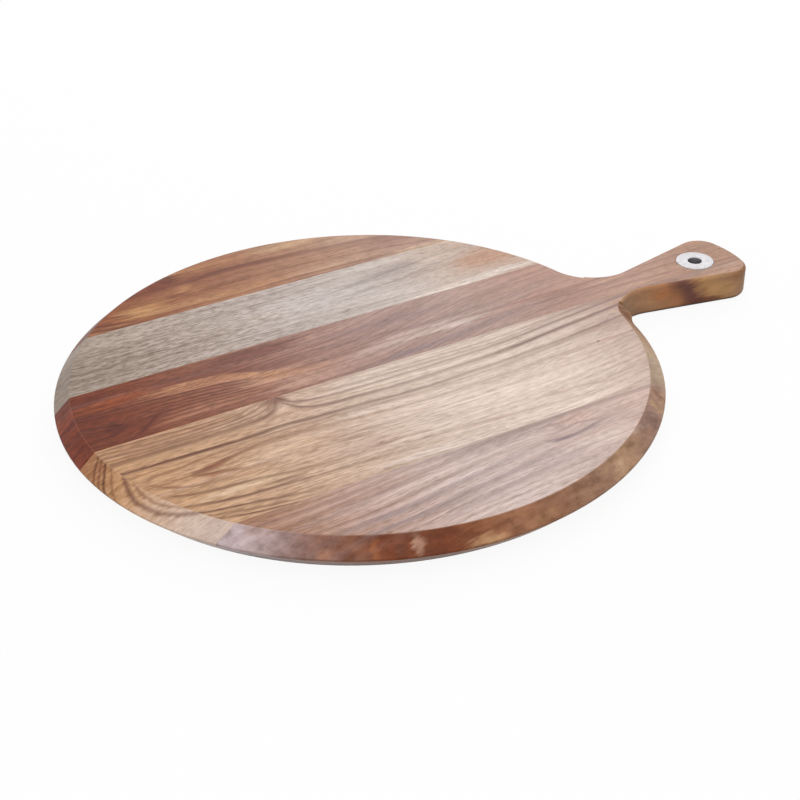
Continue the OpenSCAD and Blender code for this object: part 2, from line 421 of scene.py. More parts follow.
rearLook = {
    "seed": 5, "wander": 7, "lean": 0.3, "ragged": 14, "broad": 0.5, "streak": 0.75, "fibre": (1.4, 0.8),
    "relief": 0.2, "pores": 0.3, "poreFrom": 0.36, "poreTint": tint(180, 150, 130), "veins": 0.35,
    # arris: painted shade along the far top arris
    "veinTint": tint(178, 140, 120), "lineStop": 0.0, "arris": tint(104, 72, 54), "arrisLightShade": 0.35, "mottle": 0.5,
    "cloud": 0.6,
    "along": [(-140, tint(136, 78, 50)), (-98, tint(142, 84, 52)), (-62, tint(144, 92, 62)), (-20, tint(147, 98, 69)),
              (40, tint(166, 122, 95)), (90, tint(172, 134, 113)), (135, tint(168, 132, 114))],
    "edge": [(-140, tint(112, 56, 32)), (0, tint(140, 92, 64)), (140, tint(156, 116, 92))],
    "pockets": [
        onTop(-76, 151, 32, 13, tint(118, 60, 38), 0.85, core=0.35),
        onTop(-57, 155, 12, 9, tint(98, 46, 36), 0.75),
        onTop(-80, 125, 27, 11, tint(183, 136, 90), 0.95),
        onTop(-60, 122, 40, 5, tint(176, 128, 88), 0.7),
        onTop(-108, 114, 24, 3, tint(164, 116, 82), 0.7),
        onTop(-25, 161, 50, 7, tint(170, 120, 84), 0.85),
        onTop(42, 162, 46, 9, tint(184, 146, 114), 0.95),
        onTop(78, 149, 44, 9, tint(178, 142, 118), 0.8),
        onTop(-25, 120, 70, 8, tint(170, 123, 88), 0.85),
        onTop(-46, 139, 11, 7, tint(172, 122, 82), 0.7, turn=70),
        onTop(-60, 133, 8, 3.5, tint(112, 62, 44), 0.6, turn=-20),
        onTop(48, 119, 46, 7, tint(180, 143, 118), 0.75),
        onTop(98, 128, 46, 9, tint(152, 112, 94), 0.85),
        onTop(114, 113, 42, 4, tint(195, 163, 136), 0.9),
    ],
    "lines": [
        line(7, 6, tint(118, 64, 44), (-62, 147, 0.0), (-40, 148, 0.9), (0, 148.5, 1.0), (25, 147, 0.8),
             (50, 144, 0.5), (90, 138, 0.5), (115, 133, 0.2), (130, 129, 0.0)),
        line(2, 4, tint(104, 60, 50), (-60, 146, 0.0), (-35, 149, 0.7), (0, 150, 0.7), (35, 148, 0.5), (80, 142, 0.5),
             (120, 134, 0.3)),
        line(4, 2, tint(120, 70, 52), (-50, 139, 0.0), (-20, 140, 0.25), (30, 139, 0.3), (80, 134, 0.4),
             (120, 126, 0.2)),
        line(2, 2.6, tint(84, 36, 20), (-134, 117, 0.3), (-118, 114, 0.9), (-104, 112.5, 0.7), (-90, 111.5, 0.2)),
        line(2, 2.6, tint(92, 42, 26), (-128, 122, 0.2), (-112, 119, 0.9), (-100, 116.5, 0.6), (-90, 114, 0.0)),
        line(2, 3.5, tint(98, 46, 28), (-118, 130, 0.2), (-104, 127, 0.7), (-96, 125, 0.4), (-88, 122, 0.0)),
        line(1.6, 2.4, tint(122, 76, 56), (-40, 130, 0.0), (0, 131, 0.25), (50, 128, 0.5), (95, 122, 0.6),
             (125, 117, 0.2)),
        line(1.6, 2.0, tint(124, 80, 60), (-30, 116, 0.0), (5, 117, 0.5), (45, 115.5, 0.8), (75, 114, 0.7),
             (95, 113, 0.0)),
    ],
}

greyLook = {
    "seed": 9, "wander": 9, "lean": 0.3, "ragged": 16, "broad": 0.4, "streak": 0.6, "fibre": (2.6, 0.9),
    "relief": 0.3, "pores": 0.4, "poreFrom": 0.38, "poreTint": tint(168, 156, 146), "veins": 0.3,
    # arris: painted shade along the top arris
    "veinTint": tint(176, 164, 154), "lineStop": 0.0, "arris": tint(150, 138, 128), "arrisLightShade": 0.3, "mottle": 0.4,
    "cloud": 0.15,
    "along": [(-170, tint(151, 134, 121)), (-120, tint(163, 146, 133)), (-60, tint(177, 161, 151)),
              (0, tint(182, 168, 160)), (60, tint(184, 170, 162)), (105, tint(186, 165, 151)),
              (150, tint(180, 151, 132))],
    "edge": [(-170, tint(156, 138, 124)), (0, tint(160, 144, 132)), (150, tint(168, 136, 114))],
    "pockets": [
        onTop(-100, 100, 60, 9, tint(172, 155, 142), 0.5),
        onTop(-140, 66, 40, 10, tint(148, 131, 119), 0.5),
        onTop(14, 80, 70, 22, tint(196, 184, 179), 0.85),
        onTop(60, 64, 48, 8, tint(196, 182, 175), 0.8),
        onTop(-28, 78, 34, 10, tint(185, 168, 156), 0.6),
        onTop(76, 93, 50, 8, tint(160, 144, 138), 0.8, turn=8),
        onTop(92, 82, 30, 7, tint(164, 143, 132), 0.6, turn=6),
        onTop(104, 95, 26, 7, tint(200, 178, 162), 0.8),
        onTop(62, 106, 44, 5, tint(196, 183, 174), 0.75),
        onTop(142, 78, 42, 17, tint(177, 135, 109), 0.98, core=0.4),
        onTop(122, 55, 66, 5, tint(212, 195, 184), 0.95, core=0.4),
        onTop(108, 112, 46, 3.6, tint(196, 172, 151), 0.9),
    ],
    "lines": [
        line(1.6, 2.4, tint(116, 99, 87), (-172, 74, 0.4), (-140, 71, 0.7), (-110, 73, 0.6), (-70, 70, 0.4),
             (-40, 71, 0.0)),
        line(1.4, 2.2, tint(116, 99, 87), (-167, 67, 0.6), (-130, 65, 0.6), (-95, 66, 0.7), (-60, 64, 0.3),
             (-45, 64, 0.0)),
        line(1.4, 2.2, tint(120, 104, 91), (-162, 80, 0.4), (-135, 78.5, 0.6), (-100, 80, 0.4), (-80, 79, 0.0)),
        line(1.5, 2.4, tint(124, 108, 96), (-167, 60, 0.6), (-120, 59, 0.5), (-80, 60, 0.6), (-30, 58.5, 0.4),
             (0, 58, 0.0)),
        line(1.4, 2.2, tint(126, 110, 98), (-155, 88, 0.3), (-125, 87, 0.5), (-90, 89, 0.5), (-60, 87, 0.2),
             (-40, 88, 0.0)),
        line(1.6, 2.4, tint(130, 114, 104), (-80, 103, 0.0), (-50, 105, 0.6), (-10, 103, 0.6), (20, 105, 0.4),
             (50, 108, 0.0)),
        line(1.6, 2.4, tint(132, 116, 106), (-100, 96, 0.0), (-70, 95, 0.5), (-20, 95, 0.5), (10, 97, 0.4),
             (40, 100, 0.0)),
        line(3.0, 2.0, tint(138, 122, 115), (15, 83, 0.0), (50, 88, 0.6), (85, 94, 0.6), (115, 98, 0.2)),
        line(2.4, 1.8, tint(140, 124, 116), (25, 75, 0.0), (60, 79, 0.5), (90, 84, 0.5), (110, 88, 0.0)),
    ],
}

redLook = {
    "seed": 14, "wander": 5, "lean": 0.3, "ragged": 10, "broad": 0.5, "streak": 1.1, "fibre": (2.0, 0.9),
    "relief": 0.2, "pores": 0.3, "poreFrom": 0.36, "poreTint": tint(186, 158, 146), "veins": 0.55,
    # arris: painted highlight along the top arris
    "veinTint": tint(176, 140, 128), "lineStop": 0.0, "arris": tint(176, 122, 98), "arrisLightShade": 0.18, "mottle": 0.8,
    "cloud": 0.3,
    "sweep": [(-180, 0), (-20, 0), (10, 2), (50, 12), (100, 25), (150, 33), (290, 35)],
    "knots": [{"at": (-150, 6, 20), "size": (26, 14, 30), "push": 7},
              {"at": (-66, 14, 20), "size": (50, 26, 40), "push": 5}],
    "along": [(-178, tint(108, 45, 20)), (-140, tint(118, 56, 31)), (-112, tint(136, 80, 56)),
              (-78, tint(150, 100, 79)), (-42, tint(162, 120, 104)), (20, tint(162, 129, 118)),
              (90, tint(164, 134, 123)), (150, tint(162, 122, 105)), (205, tint(176, 136, 115)),
              (250, tint(158, 114, 86)), (283, tint(160, 116, 88))],
    "edge": [(-182, tint(122, 58, 40)), (-178, tint(142, 66, 42)), (-174, tint(108, 50, 36)),
             (180, tint(156, 110, 86)), (283, tint(164, 118, 90))],
    "pockets": [
        onTop(-165, 42, 18, 9, tint(104, 41, 16), 0.75),
        onTop(-58, 42, 46, 9, tint(118, 70, 58), 0.9, core=0.4),
        onTop(-158, 24, 18, 6, tint(92, 36, 20), 0.85),
        onTop(-138, 34, 34, 6.5, tint(143, 70, 33), 0.9),
        onTop(-110, 35, 26, 4, tint(140, 78, 48), 0.6),
        onTop(-56, 12, 26, 8, tint(196, 149, 120), 0.95),
        onTop(-96, 1, 42, 9, tint(164, 112, 86), 0.9),
        onTop(-34, 2, 36, 12, tint(182, 142, 124), 0.85),
        onTop(-153, 6, 9, 6, tint(84, 30, 18), 0.85, local=True),
        onTop(34, -6, 36, 4.0, tint(140, 117, 117), 0.9),
        onTop(40, 34, 54, 8, tint(146, 115, 110), 0.7),
        onTop(40, 11, 66, 8, tint(192, 166, 156), 0.95, turn=8),
        onTop(72, 8, 30, 6, tint(206, 184, 174), 0.9),
        onTop(128, 30, 46, 12, tint(163, 129, 112), 0.6),
        onTop(150, 10, 30, 9, tint(150, 108, 90), 0.7),
        onTop(245, -3, 30, 4, tint(172, 130, 104), 0.6),
    ],
    "lines": [
        line(22, 2.5, tint(116, 64, 50), (-125, 34, 0.0), (-105, 33, 0.8), (-85, 31, 0.95), (-70, 27, 0.95),
             (-50, 21, 0.9), (-25, 20, 0.5), (10, 22, 0.2), (40, 24, 0.0)),
        line(2.5, 12, tint(180, 129, 93), (-132, 31, 0.0), (-116, 31, 0.5), (-95, 30.5, 0.95), (-72, 26.5, 1.0),
             (-50, 16.5, 0.8), (-28, 11, 0.4), (0, 8, 0.0)),
        line(1.6, 2.2, tint(96, 44, 28), (-165, 24, 0.4), (-133, 24.2, 0.9), (-105, 22.6, 0.9), (-80, 20, 0.8),
             (-66, 16.7, 0.6), (-52, 12, 0.0)),
        line(1.3, 2.0, tint(98, 48, 32), (-145, 19, 0.4), (-120, 19.5, 0.9), (-98, 18.3, 0.8), (-80, 16, 0.8),
             (-64, 13, 0.3)),
        line(1.3, 1.9, tint(98, 47, 32), (-138, 15.2, 0.4), (-115, 15.7, 0.9), (-95, 14.3, 0.8), (-74, 12.2, 0.6),
             (-60, 11, 0.0)),
        line(1.3, 1.9, tint(96, 45, 32), (-132, 11.5, 0.5), (-112, 12.0, 0.9), (-92, 10.6, 0.9), (-72, 9.0, 0.5),
             (-58, 8, 0.0)),
        line(1.4, 1.9, tint(96, 46, 32), (-130, 7.8, 0.6), (-108, 8.4, 0.8), (-88, 7.0, 0.8), (-64, 5.8, 0.3)),
        line(1.4, 2.0, tint(100, 50, 36), (-124, 4.2, 0.5), (-100, 4.5, 0.8), (-78, 3.4, 0.7), (-58, 2.2, 0.0)),
        line(1.4, 2.1, tint(106, 56, 42), (-118, 0.4, 0.3), (-95, 0.4, 0.8), (-75, -0.6, 0.7), (-55, -1.6, 0.0)),
        line(1.6, 2.8, tint(110, 60, 44), (-120, -4, 0.3), (-95, -5, 0.8), (-70, -5, 0.6), (-50, -6, 0.0)),
        line(2.6, 4.5, tint(88, 35, 24), (-152, -11, 0.3), (-142, -5, 0.85), (-133, 2, 0.9), (-126, 8, 0.75),
             (-118, 12, 0.3), (-112, 14, 0.0)),
        line(1.8, 2.6, tint(82, 32, 20), (-174, 13, 0.4), (-162, 12.5, 0.9), (-152, 10, 0.9), (-146, 6.5, 0.6),
             (-140, 4, 0.0)),
        line(2.6, 1.8, tint(84, 34, 22), (-174, 0, 0.5), (-160, -0.5, 0.9), (-151, 1.5, 0.8), (-145, 5, 0.4),
             (-138, 9, 0.0)),
        line(3.0, 4.0, tint(130, 106, 107), (-30, -9, 0.0), (10, -7.5, 0.6), (45, -4.5, 0.8), (85, 0, 0.6),
             (130, 5, 0.3), (150, 9, 0.0)),
        line(3.0, 5.0, tint(134, 105, 99), (-20, 27, 0.0), (15, 24, 0.7), (55, 20, 0.8), (105, 21, 0.6),
             (145, 26, 0.0)),
        line(2.6, 4.0, tint(138, 110, 105), (-30, 38, 0.2), (20, 36, 0.6), (70, 34, 0.5), (120, 38, 0.0)),
        line(2.0, 3.2, tint(134, 96, 82), (105, -6, 0.0), (140, -1, 0.6), (170, 0, 0.6), (205, -2, 0.6),
             (240, -5, 0.5), (282, -8, 0.4)),
        line(1.2, 1.6, tint(126, 86, 70), (254, -7, 0.0), (266, -7.4, 0.8), (283, -8.4, 0.9)),
        line(1.8, 2.6, tint(138, 98, 82), (120, 12, 0.0), (150, 9, 0.5), (180, 6, 0.6), (215, 5, 0.5), (240, 8, 0.2)),
    ],
}

wideLook = {
    "seed": 21, "wander": 3, "lean": 0.5, "ragged": 10, "broad": 0.35, "streak": 1.0, "fibre": (1.4, 0.8),
    "relief": 0.2, "pores": 0.3, "poreFrom": 0.36, "poreTint": tint(190, 166, 148), "veins": 0.5,
    "veinTint": tint(188, 158, 140), "lineStop": 1.0, "arris": arrisHighlight, "arrisLightShade": 0.12, "mottle": 0.5, "cloud": 0.2,
    "sweep": [(-180, 0), (-40, 0), (20, -3), (70, -3), (120, 2), (170, 8), (290, 14)],
    "knots": [{"at": (-62, -10, 20), "size": (36, 30, 60), "push": -16}],
    "along": [(-178, tint(188, 144, 106)), (-140, tint(192, 151, 117)), (-105, tint(194, 156, 126)),
              (-62, tint(198, 168, 146)), (0, tint(208, 186, 170)), (60, tint(210, 190, 175)),
              (115, tint(204, 181, 167)), (158, tint(186, 158, 144)), (185, tint(171, 131, 108)),
              (235, tint(166, 123, 98)), (283, tint(168, 126, 100))],
    "edge": [(-181, tint(166, 114, 80)), (-178, tint(194, 144, 102)), (-174, tint(212, 166, 126)),
             (-167, tint(219, 182, 155)), (-159, tint(222, 195, 176)), (-149, tint(216, 192, 178)),
             # the dark stop at x 176 is painted shade in the crease where the bevel stops against the handle wall
             (140, tint(168, 140, 117)), (156, tint(187, 160, 131)), (169, tint(172, 134, 104)),
             (176, tint(122, 84, 64)), (186, tint(168, 128, 96)), (204, tint(182, 136, 100)),
             (222, tint(178, 122, 84)), (231, tint(122, 80, 66)), (237, tint(112, 72, 64)), (243, tint(168, 122, 86)),
             (250, tint(190, 144, 96)), (264, tint(180, 137, 103)), (283, tint(150, 102, 68))],
    "pockets": [
        onTop(-125, -17, 70, 6, tint(176, 132, 101), 0.7),
        onTop(-78, -62, 42, 11, tint(208, 174, 147), 0.9),
        onTop(-118, -80, 38, 6, tint(210, 178, 147), 0.95),
        onTop(-121, -55.6, 15, 3.8, tint(146, 90, 64), 0.85, turn=9, local=True),
        onTop(-124.5, -62, 9, 2.4, tint(150, 96, 70), 0.85, turn=-17, local=True),
        onTop(-92, -86.5, 16, 2.0, tint(150, 112, 90), 0.75, turn=-3, local=True),
        onTop(-32, -83, 16, 2.4, tint(158, 127, 109), 0.8, local=True),
        onTop(-68, -70, 10, 1.8, tint(156, 120, 98), 0.8, local=True),
        onTop(-42, -70, 18, 2.0, tint(168, 137, 119), 0.75, turn=-4, local=True),
        onTop(-52, -63, 10, 1.6, tint(172, 138, 116), 0.7, local=True),
        onTop(-140, -64, 16, 4, tint(200, 160, 126), 0.7),
        onTop(-20, -49, 46, 5, tint(214, 192, 177), 0.8),
        onTop(8, -18, 64, 8, tint(220, 200, 186), 0.85),
        onTop(-60, -29, 20, 8, tint(184, 149, 128), 0.6),
        onTop(-42, -80, 36, 8, tint(180, 150, 134), 0.75),
        onTop(55, -74, 95, 18, tint(214, 195, 180), 0.6),
        onTop(150, -40, 34, 9, tint(171, 143, 128), 0.7),
        onTop(142, -88, 14, 6, tint(184, 152, 138), 0.6),
        onTop(-63, -13, 13, 8, tint(140, 100, 82), 0.9, local=True),
        onTop(135, -53, 1.6, 1.4, tint(84, 56, 44), 0.95, core=0.3, local=True),
        onTop(-14, -103.5, 48, 4.5, tint(212, 192, 180), 0.85, core=0.4),
        onTop(66, -103.5, 62, 4.5, tint(218, 198, 184), 0.8, core=0.4),
        onTop(262, -16, 26, 3.2, tint(190, 150, 124), 0.8),
        onWall(258, 11, 18, 7, tint(196, 150, 100), 0.8),
        onWall(246, 3.5, 20, 3.5, tint(112, 68, 52), 0.85),
        onWall(214, 13, 9, 5, tint(186, 122, 76), 0.7),
    ],
    "lines": [
        line(2.2, 5.2, tint(116, 77, 56), (-168, -26, 0.8), (-133, -26.4, 0.9), (-104, -27.0, 0.7), (-88, -26.5, 0.8),
             (-72, -23.5, 0.9), (-66, -18.5, 0.85), (-62, -12, 0.5), (-58, -8, 0.0)),
        line(1.3, 2.0, tint(116, 74, 52), (-168, -22.5, 0.6), (-133, -23.3, 0.8), (-95, -23.2, 0.8),
             (-76, -20.5, 0.8), (-68, -16, 0.6), (-63, -10, 0.0)),
        line(1.3, 2.0, tint(112, 72, 52), (-168, -18.6, 0.6), (-138, -20.8, 0.7), (-105, -20.7, 0.6), (-82, -18, 0.7),
             (-70, -13, 0.5), (-64, -9, 0.0)),
        line(1.2, 1.8, tint(118, 78, 56), (-168, -15, 0.6), (-138, -17.0, 0.6), (-105, -17.4, 0.6), (-86, -15, 0.6),
             (-74, -11, 0.0)),
        line(1.2, 1.6, tint(124, 82, 60), (-166, -12, 0.5), (-138, -12.8, 0.9), (-105, -14.6, 0.7), (-88, -12, 0.0)),
        line(1.6, 3.0, tint(126, 94, 86), (-64, -9, 0.0), (-60, -14, 0.5), (-56, -18, 0.8), (-48, -21, 0.85),
             (-36, -23, 0.7), (-10, -24.5, 0.6), (48, -25.3, 0.6), (88, -24.6, 0.8), (137, -18.6, 0.9),
             (175, -14, 0.9), (200, -12, 0.5), (225, -12, 0.2)),
        line(2.0, 4.4, tint(122, 90, 79), (-64, -11, 0.0), (-60, -17, 0.5), (-57, -22, 0.8), (-52, -26.5, 0.9),
             (-44, -30, 0.9), (-21, -32.5, 0.8), (0, -34, 0.7), (48, -34.0, 0.65), (88, -32, 1.0), (137, -26.3, 1.0),
             (175, -21, 1.0), (195, -16.5, 0.7), (215, -14, 0.3)),
        line(2.0, 3.4, tint(96, 56, 40), (-169, -37.0, 0.9), (-121, -38.3, 1.0), (-88, -39.2, 0.85),
             (-71, -38.3, 0.85), (-55, -40, 0.9), (-30, -41.3, 0.8), (9, -44, 0.65), (48, -44, 0.5),
             (95, -41.4, 0.55), (146, -37.2, 0.7), (172, -34, 0.5)),
        line(1.6, 3.0, tint(140, 102, 82), (-110, -43, 0.0), (-80, -43, 0.5), (-50, -44, 0.6), (-20, -46, 0.6),
             (20, -48, 0.4), (60, -47, 0.3), (110, -43, 0.4), (150, -39, 0.3)),
        line(1.8, 3.2, tint(146, 106, 82), (-110, -47.5, 0.0), (-100, -47, 0.5), (-88, -46.7, 0.6), (-55, -50, 0.5),
             (-21, -54, 0.4), (20, -56, 0.3), (68, -56, 0.45), (111, -54.6, 0.4), (154, -53, 0.6)),
        line(2.6, 3.2, tint(128, 80, 53), (-135, -57.5, 0.0), (-127, -55.8, 0.9), (-114, -53.3, 0.9),
             (-100, -50.8, 0.8), (-84, -49.2, 0.5), (-60, -51.5, 0.35), (-30, -57, 0.2), (0, -60, 0.0)),
        line(2.8, 2.4, tint(134, 86, 58), (-136, -58.3, 0.0), (-127, -60, 0.9), (-116, -62.5, 0.9), (-107, -65, 0.6),
             (-95, -68, 0.3), (-85, -70, 0.0)),
        line(2.0, 2.6, tint(138, 94, 63), (-158, -52, 0.0), (-153, -48.5, 0.8), (-143, -48.2, 0.9),
             (-130, -46.5, 0.8), (-115, -45, 0.6), (-100, -45, 0.0)),
        line(2.4, 2.2, tint(142, 98, 68), (-158, -54, 0.0), (-154, -58, 0.8), (-147, -62.5, 0.9), (-136, -66.5, 0.8),
             (-120, -69, 0.6), (-104, -72, 0.3), (-90, -74, 0.0)),
        line(1.8, 2.8, tint(118, 78, 54), (-153, -68, 0.3), (-148, -70.5, 0.9), (-133, -74.5, 0.9),
             (-108, -77.5, 0.8), (-88, -81, 0.65), (-71, -83, 0.55), (-50, -85, 0.3), (-30, -86, 0.0)),
        line(1.6, 2.6, tint(106, 68, 48), (-150, -81.5, 0.7), (-121, -87.5, 0.95), (-95, -89.5, 0.75),
             (-75, -91.5, 0.6), (-43, -94, 0.5), (-10, -96, 0.2), (20, -97, 0.0)),
        line(1.7, 2.4, tint(98, 62, 46), (-146, -90, 0.7), (-118, -96.0, 1.0), (-95, -101, 0.65), (-76, -103.5, 0.3),
             (-60, -105, 0.0)),
        line(1.3, 1.9, tint(116, 78, 58), (-143, -94.5, 0.5), (-120, -100.8, 0.8), (-100, -104.5, 0.6),
             (-80, -107, 0.2)),
        line(1.3, 1.9, tint(104, 68, 50), (-141, -99, 0.6), (-118, -104.8, 0.9), (-100, -107.5, 0.6),
             (-90, -110, 0.0)),
        line(1.3, 2.2, tint(134, 105, 95), (-30, -14, 0.0), (0, -15.6, 0.25), (50, -18, 0.6), (95, -17.2, 0.45),
             (130, -13, 0.4)),
        line(1.3, 2.2, tint(130, 100, 90), (-34, -18.5, 0.3), (0, -20.0, 0.6), (50, -21.6, 0.55), (95, -21, 0.5),
             (140, -13.5, 0.4), (160, -11, 0.0)),
        line(1.6, 2.6, tint(164, 134, 118), (70, -88, 0.0), (82, -89, 0.7), (95, -88.5, 0.5), (110, -92, 0.6),
             (135, -90, 0.0)),
        line(1.8, 3.0, tint(164, 134, 119), (55, -50, 0.0), (90, -46, 0.6), (130, -41, 0.7), (165, -37, 0.6)),
        line(1.6, 2.6, tint(168, 138, 122), (-30, -65, 0.5), (-5, -66, 0.5), (20, -64, 0.2), (40, -64, 0.0)),
        line(1.6, 2.8, tint(176, 148, 132), (60, -68, 0.0), (100, -66, 0.5), (150, -62, 0.6)),
        line(1.8, 3.0, tint(172, 142, 126), (-40, -92, 0.0), (-10, -90, 0.6), (30, -93, 0.6), (80, -97, 0.4),
             (115, -98, 0.0)),
        line(1.2, 1.6, tint(132, 92, 74), (256, -12, 0.0), (268, -12, 0.8), (283, -12.6, 0.8)),
        line(1.6, 2.6, tint(138, 98, 80), (180, -15, 0.0), (205, -13, 0.5), (240, -16, 0.6), (275, -20, 0.4)),
    ],
    "rings": [
        {"radius": 72.5, "far": 0.0, "up": 1.4, "down": 1.2, "colour": tint(116, 72, 50), "amount": 0.8},
        {"radius": 69.6, "far": 0.0, "up": 1.2, "down": 1.0, "colour": tint(120, 76, 54), "amount": 0.7},
        {"radius": 67.0, "far": 0.0, "up": 1.4, "down": 1.2, "colour": tint(104, 62, 44), "amount": 0.85},
        {"radius": 63.4, "far": 0.0, "up": 1.2, "down": 1.0, "colour": tint(138, 92, 66), "amount": 0.6},
        {"radius": 57.4, "far": 0.8, "up": 1.8, "down": 1.8, "colour": tint(128, 88, 72), "amount": 0.8},
        {"radius": 54.2, "far": 0.8, "up": 1.4, "down": 1.2, "colour": tint(150, 106, 82), "amount": 0.65},
        {"radius": 51.4, "far": 0.8, "up": 1.2, "down": 1.0, "colour": tint(170, 128, 100), "amount": 0.5},
    ],
}

frontLook = {
    "seed": 30, "wander": 8, "lean": 0.3, "ragged": 12, "broad": 0.45, "streak": 1.0, "fibre": (1.2, 0.8),
    "relief": 0.2, "pores": 0.25, "poreFrom": 0.36, "poreTint": tint(190, 168, 160), "veins": 0.45,
    "veinTint": tint(186, 162, 156), "lineStop": 0.6, "arris": arrisHighlight, "arrisLightShade": 0.12, "mottle": 1.3, "cloud": 0.25,
    "sweep": [(-150, -8), (-95, -7), (-60, -5), (-20, 0), (20, 4), (60, 8), (140, 14)],
    "knots": [{"at": (62, -122, 20), "size": (40, 14, 60), "push": 7}],
    "along": [(-142, tint(158, 112, 84)), (-100, tint(171, 131, 110)), (-50, tint(188, 159, 148)),
              (0, tint(201, 180, 172)), (60, tint(195, 170, 161)), (115, tint(197, 168, 156))],
    "edge": [(-142, tint(200, 180, 180)), (-129, tint(188, 163, 160)), (-120, tint(164, 134, 128)),
             (-112, tint(144, 108, 98)), (-104, tint(148, 104, 87)), (-90, tint(140, 90, 66)),
             (-74, tint(124, 64, 36)), (-57, tint(126, 70, 46)), (-42, tint(120, 64, 38)), (-24, tint(148, 94, 64)),
             (-3, tint(158, 110, 82)), (20, tint(152, 108, 82)), (50, tint(158, 120, 98)), (76, tint(174, 136, 106)),
             (104, tint(154, 117, 99)), (118, tint(160, 124, 108)), (132, tint(168, 130, 103))],
    "pockets": [
        onTop(-66, -119, 46, 9, tint(174, 140, 125), 0.6),
        onTop(22, -114, 56, 6, tint(172, 148, 142), 0.8),
        onTop(-52, -140, 40, 6, tint(170, 147, 142), 0.6),
        onTop(24, -143, 60, 4, tint(182, 160, 158), 0.5),
        onTop(0, -133, 50, 4, tint(196, 175, 168), 0.8),
        onTop(74, -140, 38, 6, tint(202, 180, 169), 0.85),
        onTop(-15, -125, 54, 4, tint(199, 175, 164), 0.7),
        onTop(70, -117, 22, 8, tint(200, 164, 150), 0.8),
        onTop(56, -130, 10, 2.0, tint(130, 107, 109), 0.85, local=True),
        onTop(-30, -151, 64, 4, tint(171, 148, 142), 0.6),
        onRim(-109.4, 4.2, tint(186, 144, 120), 0.75),
        onRim(-112.5, 5.0, tint(118, 72, 54), 0.6, height=14.5, depth=4),
        onRim(-137, 11, tint(164, 134, 124), 0.55, height=18.8, depth=2.4),
        onRim(-116.6, 3.0, tint(168, 100, 58), 0.7, height=14),
        onRim(-121, 7, tint(112, 62, 40), 0.7, height=12.5, depth=3.5),
        onRim(-125, 6, tint(176, 126, 98), 0.8, height=13, depth=3),
        onRim(-97.5, 17, tint(196, 152, 112), 0.9, height=12.2, depth=2.8),
        onRim(-100, 13, tint(112, 64, 42), 0.6, height=15.2, depth=1.6),
        onRim(-87, 14, tint(164, 120, 86), 0.7, height=13.5, depth=3),
        onRim(-91, 14, tint(168, 116, 82), 0.6, height=17.6, depth=1.6),
        onRim(-75, 14, tint(166, 126, 98), 0.6, height=13, depth=3),
        onRim(-66, 8, tint(196, 160, 128), 0.85, height=14.5, depth=4.5),
        onRim(-50, 8, tint(130, 98, 86), 0.85),
        onRim(-45, 4, tint(186, 147, 114), 0.95),
        onRim(-41, 3, tint(146, 104, 80), 0.9),
    ],
    "lines": [
        line(4.0, 5.0, tint(158, 133, 126), (-60, -109, 0.0), (-30, -109.5, 0.5), (20, -109.5, 0.7),
             (70, -109.5, 0.9), (110, -109, 0.8), (140, -109, 0.6)),
        line(2.6, 3.6, tint(146, 120, 113), (-105, -128, 0.3), (-80, -126.5, 0.6), (-60, -124, 0.6), (-40, -121, 0.6),
             (-20, -117.5, 0.5), (0, -114, 0.4), (20, -111, 0.3)),
        line(3.0, 4.2, tint(142, 120, 118), (-98, -144.5, 0.5), (-80, -143.5, 0.8), (-60, -142, 0.8),
             (-40, -140, 0.8), (-20, -136.5, 0.7), (0, -135, 0.6), (20, -132.5, 0.5), (40, -131, 0.2)),
        line(3.0, 4.6, tint(146, 124, 123), (-78, -152, 0.6), (-55, -150.5, 0.8), (-40, -149.5, 0.7),
             (-20, -146.5, 0.7), (0, -145, 0.7), (20, -141.5, 0.6), (40, -138, 0.4), (60, -135, 0.0)),
        line(2.8, 4.4, tint(150, 128, 125), (-40, -159, 0.3), (-20, -156, 0.6), (0, -153, 0.7), (20, -149.5, 0.7),
             (40, -147, 0.6), (60, -143, 0.4), (80, -139, 0.0)),
        line(1.8, 3.0, tint(140, 106, 92), (-118, -117, 0.6), (-95, -116.5, 0.7), (-70, -115, 0.6),
             (-45, -112.5, 0.5), (-25, -110, 0.3)),
        line(1.7, 2.8, tint(142, 106, 90), (-112, -123, 0.6), (-90, -122.5, 0.7), (-70, -120.5, 0.5),
             (-50, -118, 0.4), (-30, -115, 0.0)),
        line(1.8, 2.8, tint(150, 122, 114), (-96, -136, 0.5), (-70, -135, 0.6), (-45, -132, 0.5), (-20, -128.5, 0.5),
             (10, -124, 0.4), (40, -120, 0.0)),
        line(1.4, 2.0, tint(138, 107, 99), (45, -117, 0.0), (56, -115.5, 0.6), (66, -117, 0.7), (76, -115, 0.5),
             (88, -117, 0.0)),
        line(1.4, 2.0, tint(140, 108, 100), (46, -122, 0.0), (58, -123.5, 0.6), (70, -121.5, 0.7), (82, -123.5, 0.5),
             (95, -122, 0.0)),
        line(1.8, 3.0, tint(124, 100, 102), (44, -128, 0.0), (54, -130, 0.9), (68, -129.8, 0.9), (85, -126.5, 0.5),
             (110, -124, 0.0)),
    ],
}

staveFinish = [
    ("stave_rear", "rear_stave", "golden wood", rearLook, "golden_stave"),
    ("stave_grey", "grey_stave", "grey wood", greyLook, "grey_stave"),
    ("stave_red", "red_stave", "red wood", redLook, "red_stave"),
    ("stave_wide", "wide_stave", "tan wood", wideLook, "tan_stave"),
    ("stave_front", "front_stave", "rose wood", frontLook, "rose_stave"),
]
for nodeName, pieceName, woodName, look, slot in staveFinish:
    smoothStave(nodeName, pieceName, woodMaterial(woodName, look))


# eyelets: turned bushes, a flange with a barrel, made by sweeping the section round the hole

